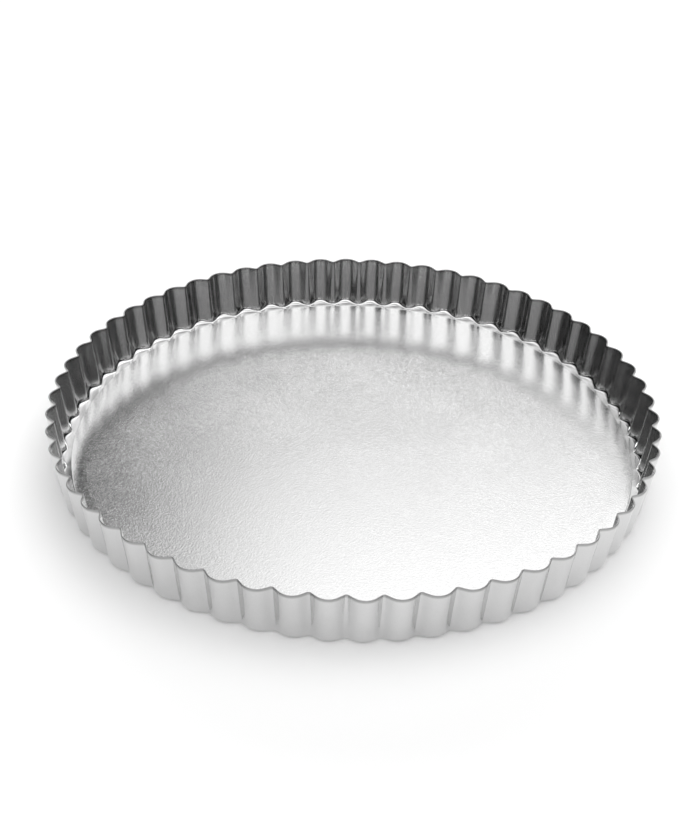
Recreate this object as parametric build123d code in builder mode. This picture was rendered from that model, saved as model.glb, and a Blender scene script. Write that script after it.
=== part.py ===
from build123d import *
import os
from math import acos, atan, cos, degrees, pi, sin, sqrt, tan

# Fluted quiche tin with a loose base, in millimetres, +Z up.
# The origin is the centre of the foot, on the surface that the tin stands on.
# The ring is one drawn piece: a fluted wall that turns in at its foot to a flat ledge.
# The loose base is a flat disc that lies on that ledge and is pushed up through the ring.

# Fluted ring
rim_diameter = 280.0  # over the crests of the flutes, at the rim
foot_diameter = 272.8  # over the crests, where the wall's line meets the floor
height = 25.5
sheet = 0.6  # thickness of the tinplate
flute_count = 60
rim_flute_depth = 3.4  # from crest to valley, along a radius
foot_flute_depth = 2.8  # where the wall's lines meet the floor
rim_valley_radius = 1.0  # outer radius of the crease at the bottom of a valley
foot_valley_radius = 2.2
crest_round_share = 0.90  # how near the crest arcs come to meeting the valley arcs
crest_bend = 3.5  # outer radius of the bend from the wall to the ledge, at a crest
valley_bend = 1.5  # and at a valley
bend_facets = 5  # flat strips round that bend

# Loose base
base_thickness = 0.6
base_clearance = 1.9  # from the base's edge to the start of the bend, at the valleys
base_overlap = 9.0  # width of the ledge under the base
base_edge_radius = 0.15  # deburred edge

# Extra length of a cut past the face that it opens
overrun = 1.0

# Worked out from the sizes above
draft = atan((rim_diameter - foot_diameter) / 2 / height)
valley_draft = atan(tan(draft) - (rim_flute_depth - foot_flute_depth) / height)
half_pitch = pi / flute_count
wall_inset = sheet / cos(draft)  # the wall's thickness, measured level
valley_foot = foot_diameter / 2 - foot_flute_depth
ledge_radius = valley_foot - valley_bend / cos(valley_draft) + valley_bend * tan(valley_draft)
base_radius = ledge_radius - base_clearance
ledge_opening_radius = base_radius - base_overlap


def turn_in(bend, lean, thickness, level):
    """How far a bend takes the sheet's side in from the wall's straight line, at a height.

    The bend's centre is its outer radius above the floor. The side is an arc round that
    centre up to where it meets the wall, and above that it is the wall.
    """
    radius = bend - thickness
    if level >= bend - radius * sin(lean):
        return 0
    centre = (bend - thickness) / cos(lean) - (bend - level) * tan(lean)
    return centre - sqrt(radius**2 - (bend - level) ** 2)


def flute_line(level, inset, thickness):
    """One flute in plan, with its crest on the X axis, at a height above the floor.

    A broad crest arc runs into a straight flank, and the flank into a small valley arc.
    From the foot to the rim the flutes grow deeper and their valleys sharper.
    The inset moves the whole line inwards, square to itself, with both arc centres kept.
    """
    rise = level / height
    crest_turn_in = turn_in(crest_bend, draft, thickness, level)
    valley_turn_in = turn_in(valley_bend, valley_draft, thickness, level)
    wall_flute_depth = foot_flute_depth + (rim_flute_depth - foot_flute_depth) * rise
    flute_depth = wall_flute_depth + valley_turn_in - crest_turn_in
    valley_radius = foot_valley_radius + (rim_valley_radius - foot_valley_radius) * rise
    crest = foot_diameter / 2 + level * tan(draft) - crest_turn_in
    valley_centre = crest - flute_depth + valley_radius
    reach = crest + valley_radius
    valley_x = valley_centre * cos(half_pitch)
    valley_y = valley_centre * sin(half_pitch)
    # With this distance from the axis to the crest arc's centre, the two arcs would just touch
    touching_centre = (reach**2 - valley_centre**2) / 2 / (reach - valley_x)
    arcs = crest_round_share * (reach - touching_centre)
    crest_centre = reach - arcs
    centres = Vector(valley_x - crest_centre, valley_y)
    flank = degrees(acos(centres.X / centres.length) - acos(arcs / centres.length))
    with BuildLine(mode=Mode.PRIVATE) as line:
        crest_arc = CenterArc((crest_centre, 0), arcs - valley_radius - inset, -flank, 2 * flank)
        valley_arc = CenterArc(
            (valley_x, valley_y),
            valley_radius + inset,
            180 + flank,
            2 * (degrees(half_pitch) - flank),
        )
        Line(crest_arc @ 1, valley_arc @ 0)
        Line((valley_arc @ 1).rotate(Axis.Z, -2 * degrees(half_pitch)), crest_arc @ 0)
    return line.line


def ring_section(level, inset, thickness):
    """Face inside the closed fluted line at one height."""
    with BuildSketch(Plane.XY.offset(level)) as section:
        with BuildLine():
            with PolarLocations(0, flute_count):
                add(flute_line(level, inset, thickness))
        make_face()
    return section.sketch


def ring_side(inset, thickness, top):
    """Sections up the ring's outer or inner side: round the bend, then to the top of the wall."""
    sections = []
    for facet in range(bend_facets + 1):
        turn = (pi / 2 - draft) * facet / bend_facets
        level = crest_bend - (crest_bend - thickness) * cos(turn)
        sections.append(ring_section(level, inset, thickness))
    sections.append(ring_section(top, inset, thickness))
    return sections


with BuildPart() as fluted_ring:
    loft(ring_side(0, 0, height), ruled=True)
    loft(ring_side(wall_inset, sheet, height + overrun), ruled=True, mode=Mode.SUBTRACT)
    with BuildSketch(Plane.XY.offset(-overrun)):
        Circle(ledge_opening_radius)
    extrude(amount=sheet + 2 * overrun, mode=Mode.SUBTRACT)
fluted_ring.part.label = "fluted_ring"


with BuildPart() as loose_base:
    with BuildSketch(Plane.XY.offset(sheet)):
        Circle(base_radius)
    extrude(amount=base_thickness)
    fillet(loose_base.edges().filter_by(GeomType.CIRCLE), base_edge_radius)
loose_base.part.label = "loose_base"


os.makedirs("parts", exist_ok=True)
export_step(fluted_ring.part, "parts/fluted_ring.step")
export_step(loose_base.part, "parts/loose_base.step")
print("base diameter", 2 * base_radius, "ledge opening", 2 * ledge_opening_radius)
print("draft in degrees", degrees(draft), "ring volume", fluted_ring.part.volume)
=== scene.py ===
from math import atan, cos, pi, radians, sin, tan

import bpy
import numpy as np
from mathutils import Matrix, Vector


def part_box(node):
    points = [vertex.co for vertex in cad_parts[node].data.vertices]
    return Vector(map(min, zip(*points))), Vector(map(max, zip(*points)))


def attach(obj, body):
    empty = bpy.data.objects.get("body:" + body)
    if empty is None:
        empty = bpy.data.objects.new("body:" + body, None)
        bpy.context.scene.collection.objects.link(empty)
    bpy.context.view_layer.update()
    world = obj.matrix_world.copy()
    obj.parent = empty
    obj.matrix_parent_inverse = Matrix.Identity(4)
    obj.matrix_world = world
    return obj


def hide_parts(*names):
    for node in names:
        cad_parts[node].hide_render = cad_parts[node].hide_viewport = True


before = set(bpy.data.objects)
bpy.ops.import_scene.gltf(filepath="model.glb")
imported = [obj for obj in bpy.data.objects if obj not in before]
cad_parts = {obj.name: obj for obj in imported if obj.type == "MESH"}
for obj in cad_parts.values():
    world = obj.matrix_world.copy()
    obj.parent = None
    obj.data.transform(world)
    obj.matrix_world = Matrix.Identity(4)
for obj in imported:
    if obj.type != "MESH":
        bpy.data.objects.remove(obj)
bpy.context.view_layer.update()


# Fluted ring
# One piece of bright tinplate, drawn to a wall of upright flutes that turns in at its foot
# to a flat ledge. The rim is only trimmed: it shows the dark steel of its cut edge. The tin
# just below that has painted shade: its colour darkens towards the rim.

ring_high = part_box("fluted_ring")[1]
rim_radius = ring_high.x
rim_height = ring_high.z
foot_inset = 0.0036
foot_radius = rim_radius - foot_inset
flute_count = 60
rim_flute_depth = 0.0034
foot_flute_depth = 0.0028
rim_valley_radius = 0.0010
foot_valley_radius = 0.0022
crest_round_share = 0.90
ring_sheet = 0.0006
crest_bend = 0.0035
valley_bend = 0.0015
rim_rounding = 0.00015
drawing_error = 0.00025
ledge_overlap = 0.0090
ledge_rows, bend_rows, wall_rows = 3, 10, 8
crest_steps, flank_steps, valley_steps = 8, 5, 6
crease_angle = radians(32)
ledge_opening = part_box("loose_base")[1].x - ledge_overlap
draft = atan(foot_inset / rim_height)
half_pitch = pi / flute_count
valley_draft = atan(tan(draft) - (rim_flute_depth - foot_flute_depth) / rim_height)
wall_inset = ring_sheet / cos(draft)


def turn_in(bend, lean, thickness, level):
    """How far a bend takes the sheet's side in from the wall's straight line, at heights.

    The bend's centre is its outer radius above the floor. The side is an arc round that
    centre up to where it meets the wall, and above that it is the wall.
    """
    radius = bend - thickness
    centre = radius / cos(lean) - (bend - level) * tan(lean)
    arc = np.sqrt(np.maximum(radius**2 - (bend - level) ** 2, 0))
    return np.where(level < bend - radius * sin(lean), centre - arc, 0)


def flute_outline(level, inset, thickness):
    """Angle and radius of points along one flute, from crest to crest, for arrays of heights.

    A crest arc and a small valley arc share a straight flank that touches both. The arcs'
    centres lie on the crest's and the valley's radius, and the inset shifts the line inwards
    square to itself, so it takes from the crest arc's radius and adds to the valley arc's.
    The flutes' depth grows evenly from the foot to the rim, and the valley's radius shrinks.
    Round the foot's bend, broad at the crests and tight in the valleys, they grow shallow.
    """
    level, inset, thickness = level[:, None], inset[:, None], thickness[:, None]
    rise = level / rim_height
    crest_turn_in = turn_in(crest_bend, draft, thickness, level)
    valley_turn_in = turn_in(valley_bend, valley_draft, thickness, level)
    wall_flute_depth = foot_flute_depth + (rim_flute_depth - foot_flute_depth) * rise
    flute_depth = wall_flute_depth + valley_turn_in - crest_turn_in
    valley_radius = foot_valley_radius + (rim_valley_radius - foot_valley_radius) * rise
    crest = foot_radius + level * tan(draft) - crest_turn_in
    valley_centre = crest - flute_depth + valley_radius
    reach = crest + valley_radius
    valley_x = valley_centre * cos(half_pitch)
    valley_y = valley_centre * sin(half_pitch)
    # With this distance from the axis to the crest arc's centre, the two arcs would just touch
    touching = (reach**2 - valley_centre**2) / 2 / (reach - valley_x)
    arcs = crest_round_share * (reach - touching)
    crest_x = reach - arcs
    apart = np.hypot(valley_x - crest_x, valley_y)
    flank = np.arctan2(valley_y, valley_x - crest_x) - np.arccos(arcs / apart)
    crest_turn = flank * np.linspace(0, 1, crest_steps)
    crest_arc_x = crest_x + (arcs - valley_radius - inset) * np.cos(crest_turn)
    crest_arc_y = (arcs - valley_radius - inset) * np.sin(crest_turn)
    valley_turn = flank + (half_pitch - flank) * np.linspace(0, 1, valley_steps)
    valley_arc_x = valley_x - (valley_radius + inset) * np.cos(valley_turn)
    valley_arc_y = valley_y - (valley_radius + inset) * np.sin(valley_turn)
    between = np.linspace(0, 1, flank_steps)[1:-1]
    flank_x = crest_arc_x[:, -1:] * (1 - between) + valley_arc_x[:, :1] * between
    flank_y = crest_arc_y[:, -1:] * (1 - between) + valley_arc_y[:, :1] * between
    x = np.concatenate([crest_arc_x, flank_x, valley_arc_x], axis=1)
    y = np.concatenate([crest_arc_y, flank_y, valley_arc_y], axis=1)
    angle = np.arctan2(y, x)
    radius = np.hypot(x, y)
    angle = np.concatenate([angle, 2 * half_pitch - angle[:, -2:0:-1]], axis=1)
    radius = np.concatenate([radius, radius[:, -2:0:-1]], axis=1)
    return angle, radius


def ring_section():
    """Rows once round the sheet, from the ledge's opening under it, over the rim and back.

    Each has a height, an inset, a thickness (none outside) and its share of the way to the
    ledge's opening.
    """
    turn = (pi / 2 - draft) * np.linspace(0, 1, bend_rows)
    outer_bend = crest_bend - crest_bend * np.cos(turn)
    inner_bend = crest_bend - (crest_bend - ring_sheet) * np.cos(turn)
    ledge = np.linspace(1, 0, ledge_rows + 1)[:-1]
    wall = np.linspace(0, 1, wall_rows + 1)[1:]
    outer_wall = outer_bend[-1] + (rim_height - rim_rounding - outer_bend[-1]) * wall
    inner_wall = inner_bend[-1] + (rim_height - rim_rounding - inner_bend[-1]) * wall
    outside = np.concatenate([0 * ledge, outer_bend, outer_wall])
    inside = np.concatenate([inner_wall[::-1], inner_bend[::-1], 0 * ledge + ring_sheet])
    level = np.concatenate([outside, [rim_height, rim_height], inside])
    rim_insets = [rim_rounding, wall_inset - rim_rounding]
    inset = np.concatenate([0 * outside, rim_insets, 0 * inside + wall_inset])
    thickness = np.concatenate([0 * outside, [0, 0], 0 * inside + ring_sheet])
    share = np.concatenate([ledge, np.zeros(len(level) - 2 * ledge_rows), ledge[::-1]])
    return level, inset, thickness, share


def grid_mesh(name, x, y, z, u, v):
    """Mesh of quads over a grid of points whose rows and columns close on themselves.

    Row i and column j give point (x, y, z)[i, j] and the map coordinates (u, v)[i, j].
    The maps have one row and one column more than the points, for the first ones a turn on.
    """
    rows, columns = x.shape
    mesh = bpy.data.meshes.new(name)
    row = np.arange(rows)[:, None]
    column = np.arange(columns)[None, :]
    next_row = (row + 1) % rows
    next_column = (column + 1) % columns
    corners = [(row, column), (row, next_column), (next_row, next_column), (next_row, column)]
    faces = np.stack([r * columns + c for r, c in corners], axis=-1).reshape(-1, 4)
    mesh.vertices.add(rows * columns)
    mesh.vertices.foreach_set("co", np.stack([x, y, z], axis=-1).astype(np.float32).ravel())
    mesh.loops.add(faces.size)
    mesh.loops.foreach_set("vertex_index", faces.astype(np.int32).ravel())
    mesh.polygons.add(len(faces))
    mesh.polygons.foreach_set("loop_start", np.arange(0, faces.size, 4, dtype=np.int32))
    mesh.polygons.foreach_set("use_smooth", np.ones(len(faces), dtype=bool))
    map_corners = [(row, column), (row, column + 1), (row + 1, column + 1), (row + 1, column)]
    places = np.stack([np.stack([u[r, c], v[r, c]], axis=-1) for r, c in map_corners], axis=2)
    layer = mesh.uv_layers.new(name="along_and_up")
    mesh.update(calc_edges=True)
    layer.data.foreach_set("uv", places.reshape(-1, 2).astype(np.float32).ravel())
    mesh.set_sharp_from_angle(angle=crease_angle)
    mesh.validate()
    return mesh


level, inset, thickness, share = ring_section()
angle, radius = flute_outline(level, inset, thickness)
radius = radius * (1 - share[:, None]) + ledge_opening * share[:, None]
path = np.concatenate([[0], np.cumsum(np.hypot(np.diff(level), np.diff(radius[:, 0])))])
turns = 2 * half_pitch * np.arange(flute_count)
angle = (angle[:, None, :] + turns[None, :, None]).reshape(len(level), -1)
radius = np.tile(radius, (1, flute_count))
height = np.repeat(level[:, None], angle.shape[1], axis=1)
# The wall strays inwards by waves of several lengths round the ring, most at the rim
uneven = np.random.default_rng(7)
waves_round = np.arange(5, 32, 3)
wave_turns = angle[..., None] * waves_round + uneven.uniform(0, 2 * pi, len(waves_round))
wave_sizes = uneven.uniform(-1, 1, len(waves_round)) / len(waves_round)
stray = (1 + np.sin(wave_turns) @ wave_sizes) / 2
radius = radius - drawing_error * stray * height / rim_height
# The piece's map: metres round the ring, and metres along the sheet's section
path_end = path[-1] + ring_sheet
ring_u = np.concatenate([angle, angle[:, :1] + 2 * pi], axis=1) * rim_radius
ring_u = np.concatenate([ring_u, ring_u[:1]], axis=0)
ring_v = np.repeat(np.append(path, path_end)[:, None], ring_u.shape[1], axis=1)
ring_mesh = grid_mesh(
    "fluted_ring_sheet",
    radius * np.cos(angle), radius * np.sin(angle), height, ring_u, ring_v,
)
ring_piece = bpy.data.objects.new("fluted_ring_sheet", ring_mesh)
bpy.context.scene.collection.objects.link(ring_piece)


def link(tree, source, target):
    """Wires one socket to another."""
    tree.links.new(source, target)


def group_input(group, name, kind, value):
    """A named input of a node group, with the value that it has where none is set."""
    socket = group.interface.new_socket(name, in_out="INPUT", socket_type=kind)
    socket.default_value = value


def make_tin_grain():
    """Fine grain of a tinned sheet: a lightness mask and a height from two sizes of noise."""
    group = bpy.data.node_groups.new("tin_grain", "ShaderNodeTree")
    group.interface.new_socket("Place", in_out="INPUT", socket_type="NodeSocketVector")
    group_input(group, "Grains per metre", "NodeSocketFloat", 1500.0)
    group_input(group, "Cloud", "NodeSocketFloat", 0.3)
    group.interface.new_socket("Height", in_out="OUTPUT", socket_type="NodeSocketFloat")
    group.interface.new_socket("Mask", in_out="OUTPUT", socket_type="NodeSocketFloat")
    entry = group.nodes.new("NodeGroupInput")
    leave = group.nodes.new("NodeGroupOutput")
    fine = group.nodes.new("ShaderNodeTexNoise")
    fine.inputs["Detail"].default_value = 2.0
    fine.inputs["Roughness"].default_value = 0.6
    cloud = group.nodes.new("ShaderNodeTexNoise")
    cloud.inputs["Detail"].default_value = 3.0
    cloud.inputs["Scale"].default_value = 25.0
    blend = group.nodes.new("ShaderNodeMix")
    link(group, entry.outputs["Place"], fine.inputs["Vector"])
    link(group, entry.outputs["Grains per metre"], fine.inputs["Scale"])
    link(group, entry.outputs["Place"], cloud.inputs["Vector"])
    link(group, entry.outputs["Cloud"], blend.inputs["Factor"])
    link(group, fine.outputs["Fac"], blend.inputs["A"])
    link(group, cloud.outputs["Fac"], blend.inputs["B"])
    link(group, fine.outputs["Fac"], leave.inputs["Height"])
    link(group, blend.outputs["Result"], leave.inputs["Mask"])
    return group


tin_grain = make_tin_grain()


def new_metal(name):
    """A metal material with its node tree and its shader."""
    material = bpy.data.materials.new(name)
    material.use_nodes = True
    shader = material.node_tree.nodes["Principled BSDF"]
    shader.inputs["Metallic"].default_value = 1.0
    return material, material.node_tree, shader


def spread(tree, value, low, high, from_low=0.3, from_high=0.7):
    """Maps a value evenly from one range onto another, and holds it at the ends."""
    node = tree.nodes.new("ShaderNodeMapRange")
    node.inputs["From Min"].default_value = from_low
    node.inputs["From Max"].default_value = from_high
    node.inputs["To Min"].default_value = low
    node.inputs["To Max"].default_value = high
    link(tree, value, node.inputs["Value"])
    return node.outputs["Result"]


def combine(tree, operation, first, second):
    """Sum, product or other joining of two values, each a socket or a number."""
    node = tree.nodes.new("ShaderNodeMath")
    node.operation = operation
    for place, value in enumerate((first, second)):
        if isinstance(value, (int, float)):
            node.inputs[place].default_value = value
        else:
            link(tree, value, node.inputs[place])
    return node.outputs["Value"]


def add_grain(tree, place, grains_per_metre, cloud):
    """The tin's grain in a material's tree, on the coordinates of a place socket."""
    grain = tree.nodes.new("ShaderNodeGroup")
    grain.node_tree = tin_grain
    grain.inputs["Grains per metre"].default_value = grains_per_metre
    grain.inputs["Cloud"].default_value = cloud
    link(tree, place, grain.inputs["Place"])
    return grain


def add_bump(tree, shader, height, strength, distance):
    """Relief on a shader's normal from a height between 0 and 1, of a depth in metres."""
    bump = tree.nodes.new("ShaderNodeBump")
    bump.inputs["Strength"].default_value = strength
    bump.inputs["Distance"].default_value = distance
    link(tree, height, bump.inputs["Height"])
    link(tree, bump.outputs["Normal"], shader.inputs["Normal"])


ring_tin, ring_tree, ring_shader = new_metal("drawn_tinplate")
ring_map = ring_tree.nodes.new("ShaderNodeUVMap")
ring_map.uv_map = "along_and_up"
# Fine drawing marks, stretched up the wall
marks_place = ring_tree.nodes.new("ShaderNodeMapping")
marks_place.inputs["Scale"].default_value = (1.0, 0.03, 1.0)
link(ring_tree, ring_map.outputs["UV"], marks_place.inputs["Vector"])
marks = ring_tree.nodes.new("ShaderNodeTexNoise")
marks.inputs["Scale"].default_value = 1800.0
marks.inputs["Detail"].default_value = 3.0
link(ring_tree, marks_place.outputs["Vector"], marks.inputs["Vector"])
add_bump(ring_tree, ring_shader, marks.outputs["Fac"], strength=0.12, distance=0.0001)
ring_place = ring_tree.nodes.new("ShaderNodeTexCoord").outputs["Object"]
ring_grain = add_grain(ring_tree, ring_place, grains_per_metre=2200.0, cloud=0.6)
ring_gloss = spread(ring_tree, ring_grain.outputs["Mask"], 0.07, 0.17)
link(ring_tree, ring_gloss, ring_shader.inputs["Roughness"])
ring_parts = ring_tree.nodes.new("ShaderNodeSeparateXYZ")
link(ring_tree, ring_place, ring_parts.inputs["Vector"])
# Painted shade along the rim: the tin's colour darkens from 1.6 mm to 0.6 mm below the rim, to
# 0.55 of its tone
rim_shade_bottom, rim_shade_top = rim_height - 0.0016, rim_height - 0.0006
painted_rim_shade = spread(ring_tree, ring_parts.outputs["Z"], 1.0, 0.55, rim_shade_bottom, rim_shade_top)
clouded = spread(ring_tree, ring_grain.outputs["Mask"], 0.62, 0.72)
tone_and_painted_rim_shade = combine(ring_tree, "MULTIPLY", painted_rim_shade, clouded)
link(ring_tree, tone_and_painted_rim_shade, ring_shader.inputs["Base Color"])
ring_mesh.materials.append(ring_tin)

cut_steel, cut_tree, cut_shader = new_metal("cut_edge_steel")
cut_shader.inputs["Base Color"].default_value = (0.30, 0.30, 0.30, 1)
cut_place = cut_tree.nodes.new("ShaderNodeTexCoord").outputs["Object"]
cut_grain = add_grain(cut_tree, cut_place, grains_per_metre=1500.0, cloud=0.3)
cut_gloss = spread(cut_tree, cut_grain.outputs["Mask"], 0.25, 0.5)
link(cut_tree, cut_gloss, cut_shader.inputs["Roughness"])
ring_mesh.materials.append(cut_steel)
face_row = np.arange(len(ring_mesh.polygons)) // radius.shape[1]
rim_row = ledge_rows + bend_rows + wall_rows - 1
is_rim = (face_row >= rim_row) & (face_row <= rim_row + 2)
ring_mesh.polygons.foreach_set("material_index", is_rim.astype(np.int32))

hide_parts("fluted_ring")
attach(ring_piece, "ring")


# Loose base
# A flat disc of satin tinplate, blanked out and deburred, with a fine even grain all over.
# It isn't fastened: it lies on the ledge by its own weight.

base_low, base_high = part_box("loose_base")
base_radius = base_high.x
base_edge = 0.00015
base_rings, edge_rings = 19, 4


def base_section():
    """Radii and heights from the top's centre, round the edge, to the underside's centre."""
    inner = np.linspace(0, 1, base_rings + 1)[1:] * (base_radius - base_edge)
    turn = np.linspace(0, pi / 2, edge_rings + 1)[1:]
    top_edge = base_radius - base_edge + base_edge * np.sin(turn)
    top_level = base_high.z - base_edge + base_edge * np.cos(turn)
    low_level = base_low.z + base_edge - base_edge * np.cos(turn)
    radii = [inner, top_edge, top_edge[::-1], inner[::-1]]
    flat = np.ones(base_rings)
    levels = [flat * base_high.z, top_level, low_level[::-1], flat * base_low.z]
    return np.concatenate(radii), np.concatenate(levels)


def disc_mesh(name, radii, levels, columns):
    """Surface of revolution about Z, closed by a fan of triangles at each end."""
    angle = 2 * pi * np.arange(columns) / columns
    x = radii[:, None] * np.cos(angle)
    y = radii[:, None] * np.sin(angle)
    z = levels[:, None] + 0 * angle
    points = np.stack([x, y, z], axis=-1).reshape(-1, 3)
    top, bottom = len(points), len(points) + 1
    points = np.concatenate([points, [[0, 0, levels[0]], [0, 0, levels[-1]]]])
    row = np.arange(len(radii) - 1)[:, None]
    column = np.arange(columns)[None, :]
    after = (column + 1) % columns
    quads = np.stack(
        [row * columns + column, (row + 1) * columns + column,
         (row + 1) * columns + after, row * columns + after], axis=-1,
    ).reshape(-1, 4)
    ring = np.arange(columns)
    end = (len(radii) - 1) * columns
    top_fan = np.stack([np.full(columns, top), ring, (ring + 1) % columns], axis=-1)
    low_fan = np.stack([np.full(columns, bottom), end + (ring + 1) % columns, end + ring], axis=-1)
    mesh = bpy.data.meshes.new(name)
    mesh.from_pydata(points.tolist(), [], quads.tolist() + top_fan.tolist() + low_fan.tolist())
    mesh.polygons.foreach_set("use_smooth", np.ones(len(mesh.polygons), dtype=bool))
    mesh.set_sharp_from_angle(angle=crease_angle)
    mesh.validate()
    return mesh


base_mesh = disc_mesh("loose_base_disc", *base_section(), columns=360)
base_piece = bpy.data.objects.new("loose_base_disc", base_mesh)
bpy.context.scene.collection.objects.link(base_piece)

base_tin, base_tree, base_shader = new_metal("satin_tinplate")
base_place = base_tree.nodes.new("ShaderNodeTexCoord").outputs["Object"]
base_grain = add_grain(base_tree, base_place, grains_per_metre=1250.0, cloud=0.3)
base_gloss = spread(base_tree, base_grain.outputs["Mask"], 0.13, 0.25)
link(base_tree, base_gloss, base_shader.inputs["Roughness"])
base_shade = spread(base_tree, base_grain.outputs["Height"], 0.76, 0.84)
link(base_tree, base_shade, base_shader.inputs["Base Color"])
add_bump(base_tree, base_shader, base_grain.outputs["Height"], strength=0.25, distance=0.00018)
base_mesh.materials.append(base_tin)

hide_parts("loose_base")
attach(base_piece, "base")


# Floor
# A large plain pale table. It shows white to the camera and in the metal, and keeps the
# tin's soft shadow.

floor_reach = 6.0
floor_glow_level = 0.085
floor_corners = [(-floor_reach, -floor_reach, 0), (floor_reach, -floor_reach, 0),
                 (floor_reach, floor_reach, 0), (-floor_reach, floor_reach, 0)]
floor_mesh = bpy.data.meshes.new("floor")
floor_mesh.from_pydata(floor_corners, [], [(0, 1, 2, 3)])
floor = bpy.data.objects.new("floor", floor_mesh)
bpy.context.scene.collection.objects.link(floor)
floor_paint = bpy.data.materials.new("pale_table")
floor_paint.use_nodes = True
floor_tree = floor_paint.node_tree
floor_tree.nodes.remove(floor_tree.nodes["Principled BSDF"])
floor_diffuse = floor_tree.nodes.new("ShaderNodeBsdfDiffuse")
floor_diffuse.inputs["Color"].default_value = (0.93, 0.93, 0.93, 1)
floor_glow = floor_tree.nodes.new("ShaderNodeEmission")
rays = floor_tree.nodes.new("ShaderNodeLightPath")
seen = rays.outputs["Is Camera Ray"]
for ray in ("Is Glossy Ray", "Is Transmission Ray"):
    seen = combine(floor_tree, "MAXIMUM", seen, rays.outputs[ray])
glow_level = combine(floor_tree, "MULTIPLY", seen, floor_glow_level)
link(floor_tree, glow_level, floor_glow.inputs["Strength"])
floor_sum = floor_tree.nodes.new("ShaderNodeAddShader")
link(floor_tree, floor_diffuse.outputs["BSDF"], floor_sum.inputs[0])
link(floor_tree, floor_glow.outputs["Emission"], floor_sum.inputs[1])
floor_output = floor_tree.nodes["Material Output"]
link(floor_tree, floor_sum.outputs["Shader"], floor_output.inputs["Surface"])
floor_mesh.materials.append(floor_paint)


# Studio light
# A broad soft panel hangs high over the back of the table, right of the middle, under a dimmer
# ceiling. A bright lamp stands behind the camera with a dim one below it, pale walls stand at
# the left and the right, and a bright low strip stands behind the table.

world = bpy.data.worlds.new("studio")
world.use_nodes = True
bpy.context.scene.world = world
sky = world.node_tree
sky_place = sky.nodes.new("ShaderNodeTexCoord")
sky_parts = sky.nodes.new("ShaderNodeSeparateXYZ")
link(sky, sky_place.outputs["Generated"], sky_parts.inputs["Vector"])


def soft_lamp(level, *edges):
    """A light level times one smooth rise for each edge, from its dark side to its full side.

    An edge is a part of the direction to the sky, X, Y or Z, and that part's value where the
    lamp is dark and where it is full.
    """
    light = level
    for part, dark, full in edges:
        rise = sky.nodes.new("ShaderNodeMapRange")
        rise.interpolation_type = "SMOOTHSTEP"
        rise.inputs["From Min"].default_value = dark
        rise.inputs["From Max"].default_value = full
        link(sky, sky_parts.outputs[part], rise.inputs["Value"])
        light = combine(sky, "MULTIPLY", rise.outputs["Result"], light)
    return light


panel = soft_lamp(1.13, ("X", -0.18, 0.0), ("Y", -0.36, 0.20), ("Z", 0.485, 0.61))
ceiling = soft_lamp(0.55, ("Z", 0.66, 0.76))
lamp_behind_camera = soft_lamp(1.85, ("Y", -0.1, -0.9), ("Z", 0.47, 0.54), ("Z", 1.15, 0.60))
dim_behind_camera = soft_lamp(0.30, ("Y", -0.5, -0.9), ("Z", 0.10, 0.24), ("Z", 0.45, 0.30))
wall_left = soft_lamp(1.05, ("X", -0.02, -0.76), ("Z", 0.42, 0.82))
wall_right = soft_lamp(0.51, ("X", -0.1, 0.77), ("Z", 0.45, 0.53))
low_strip = soft_lamp(4.0, ("Y", 0.81, 0.86), ("Z", 0.46, 0.41))
light_level = panel
for lamp in (ceiling, lamp_behind_camera, dim_behind_camera, wall_left, wall_right, low_strip):
    light_level = combine(sky, "ADD", light_level, lamp)
sky_rays = sky.nodes.new("ShaderNodeLightPath")
sky_shown = sky.nodes.new("ShaderNodeMix")
sky_shown.inputs["B"].default_value = 1.0
link(sky, sky_rays.outputs["Is Camera Ray"], sky_shown.inputs["Factor"])
link(sky, light_level, sky_shown.inputs["A"])
link(sky, sky_shown.outputs["Result"], sky.nodes["Background"].inputs["Strength"])
sky.nodes["Background"].inputs["Color"].default_value = (1, 1, 1, 1)


# Camera
# It stands where the photograph was taken from, turned about the tin's axis so that the
# flutes in front fall as they do there.

crest_over_mean = 1.0095
rim_mean = (rim_radius - ring_sheet / 2) / crest_over_mean
flute_turn = radians(-2.70)
camera_tilt = radians(33.984)
camera_roll = radians(1.895)
# In mean radii of the rim, from the rim's centre
right, back, up = -0.0114, -3.7120, 2.4119
camera_place = (right * rim_mean, back * rim_mean, up * rim_mean + rim_height)
camera_data = bpy.data.cameras.new("camera")
camera_data.sensor_width = 36
camera_data.lens = 56.9
camera = bpy.data.objects.new("camera", camera_data)
camera.matrix_world = (
    Matrix.Rotation(flute_turn, 4, "Z")
    @ Matrix.Translation(camera_place)
    @ Matrix.Rotation(pi / 2 - camera_tilt, 4, "X")
    @ Matrix.Rotation(camera_roll, 4, "Z")
)
bpy.context.scene.collection.objects.link(camera)
bpy.context.scene.camera = camera
bpy.context.scene.view_settings.view_transform = "Standard"
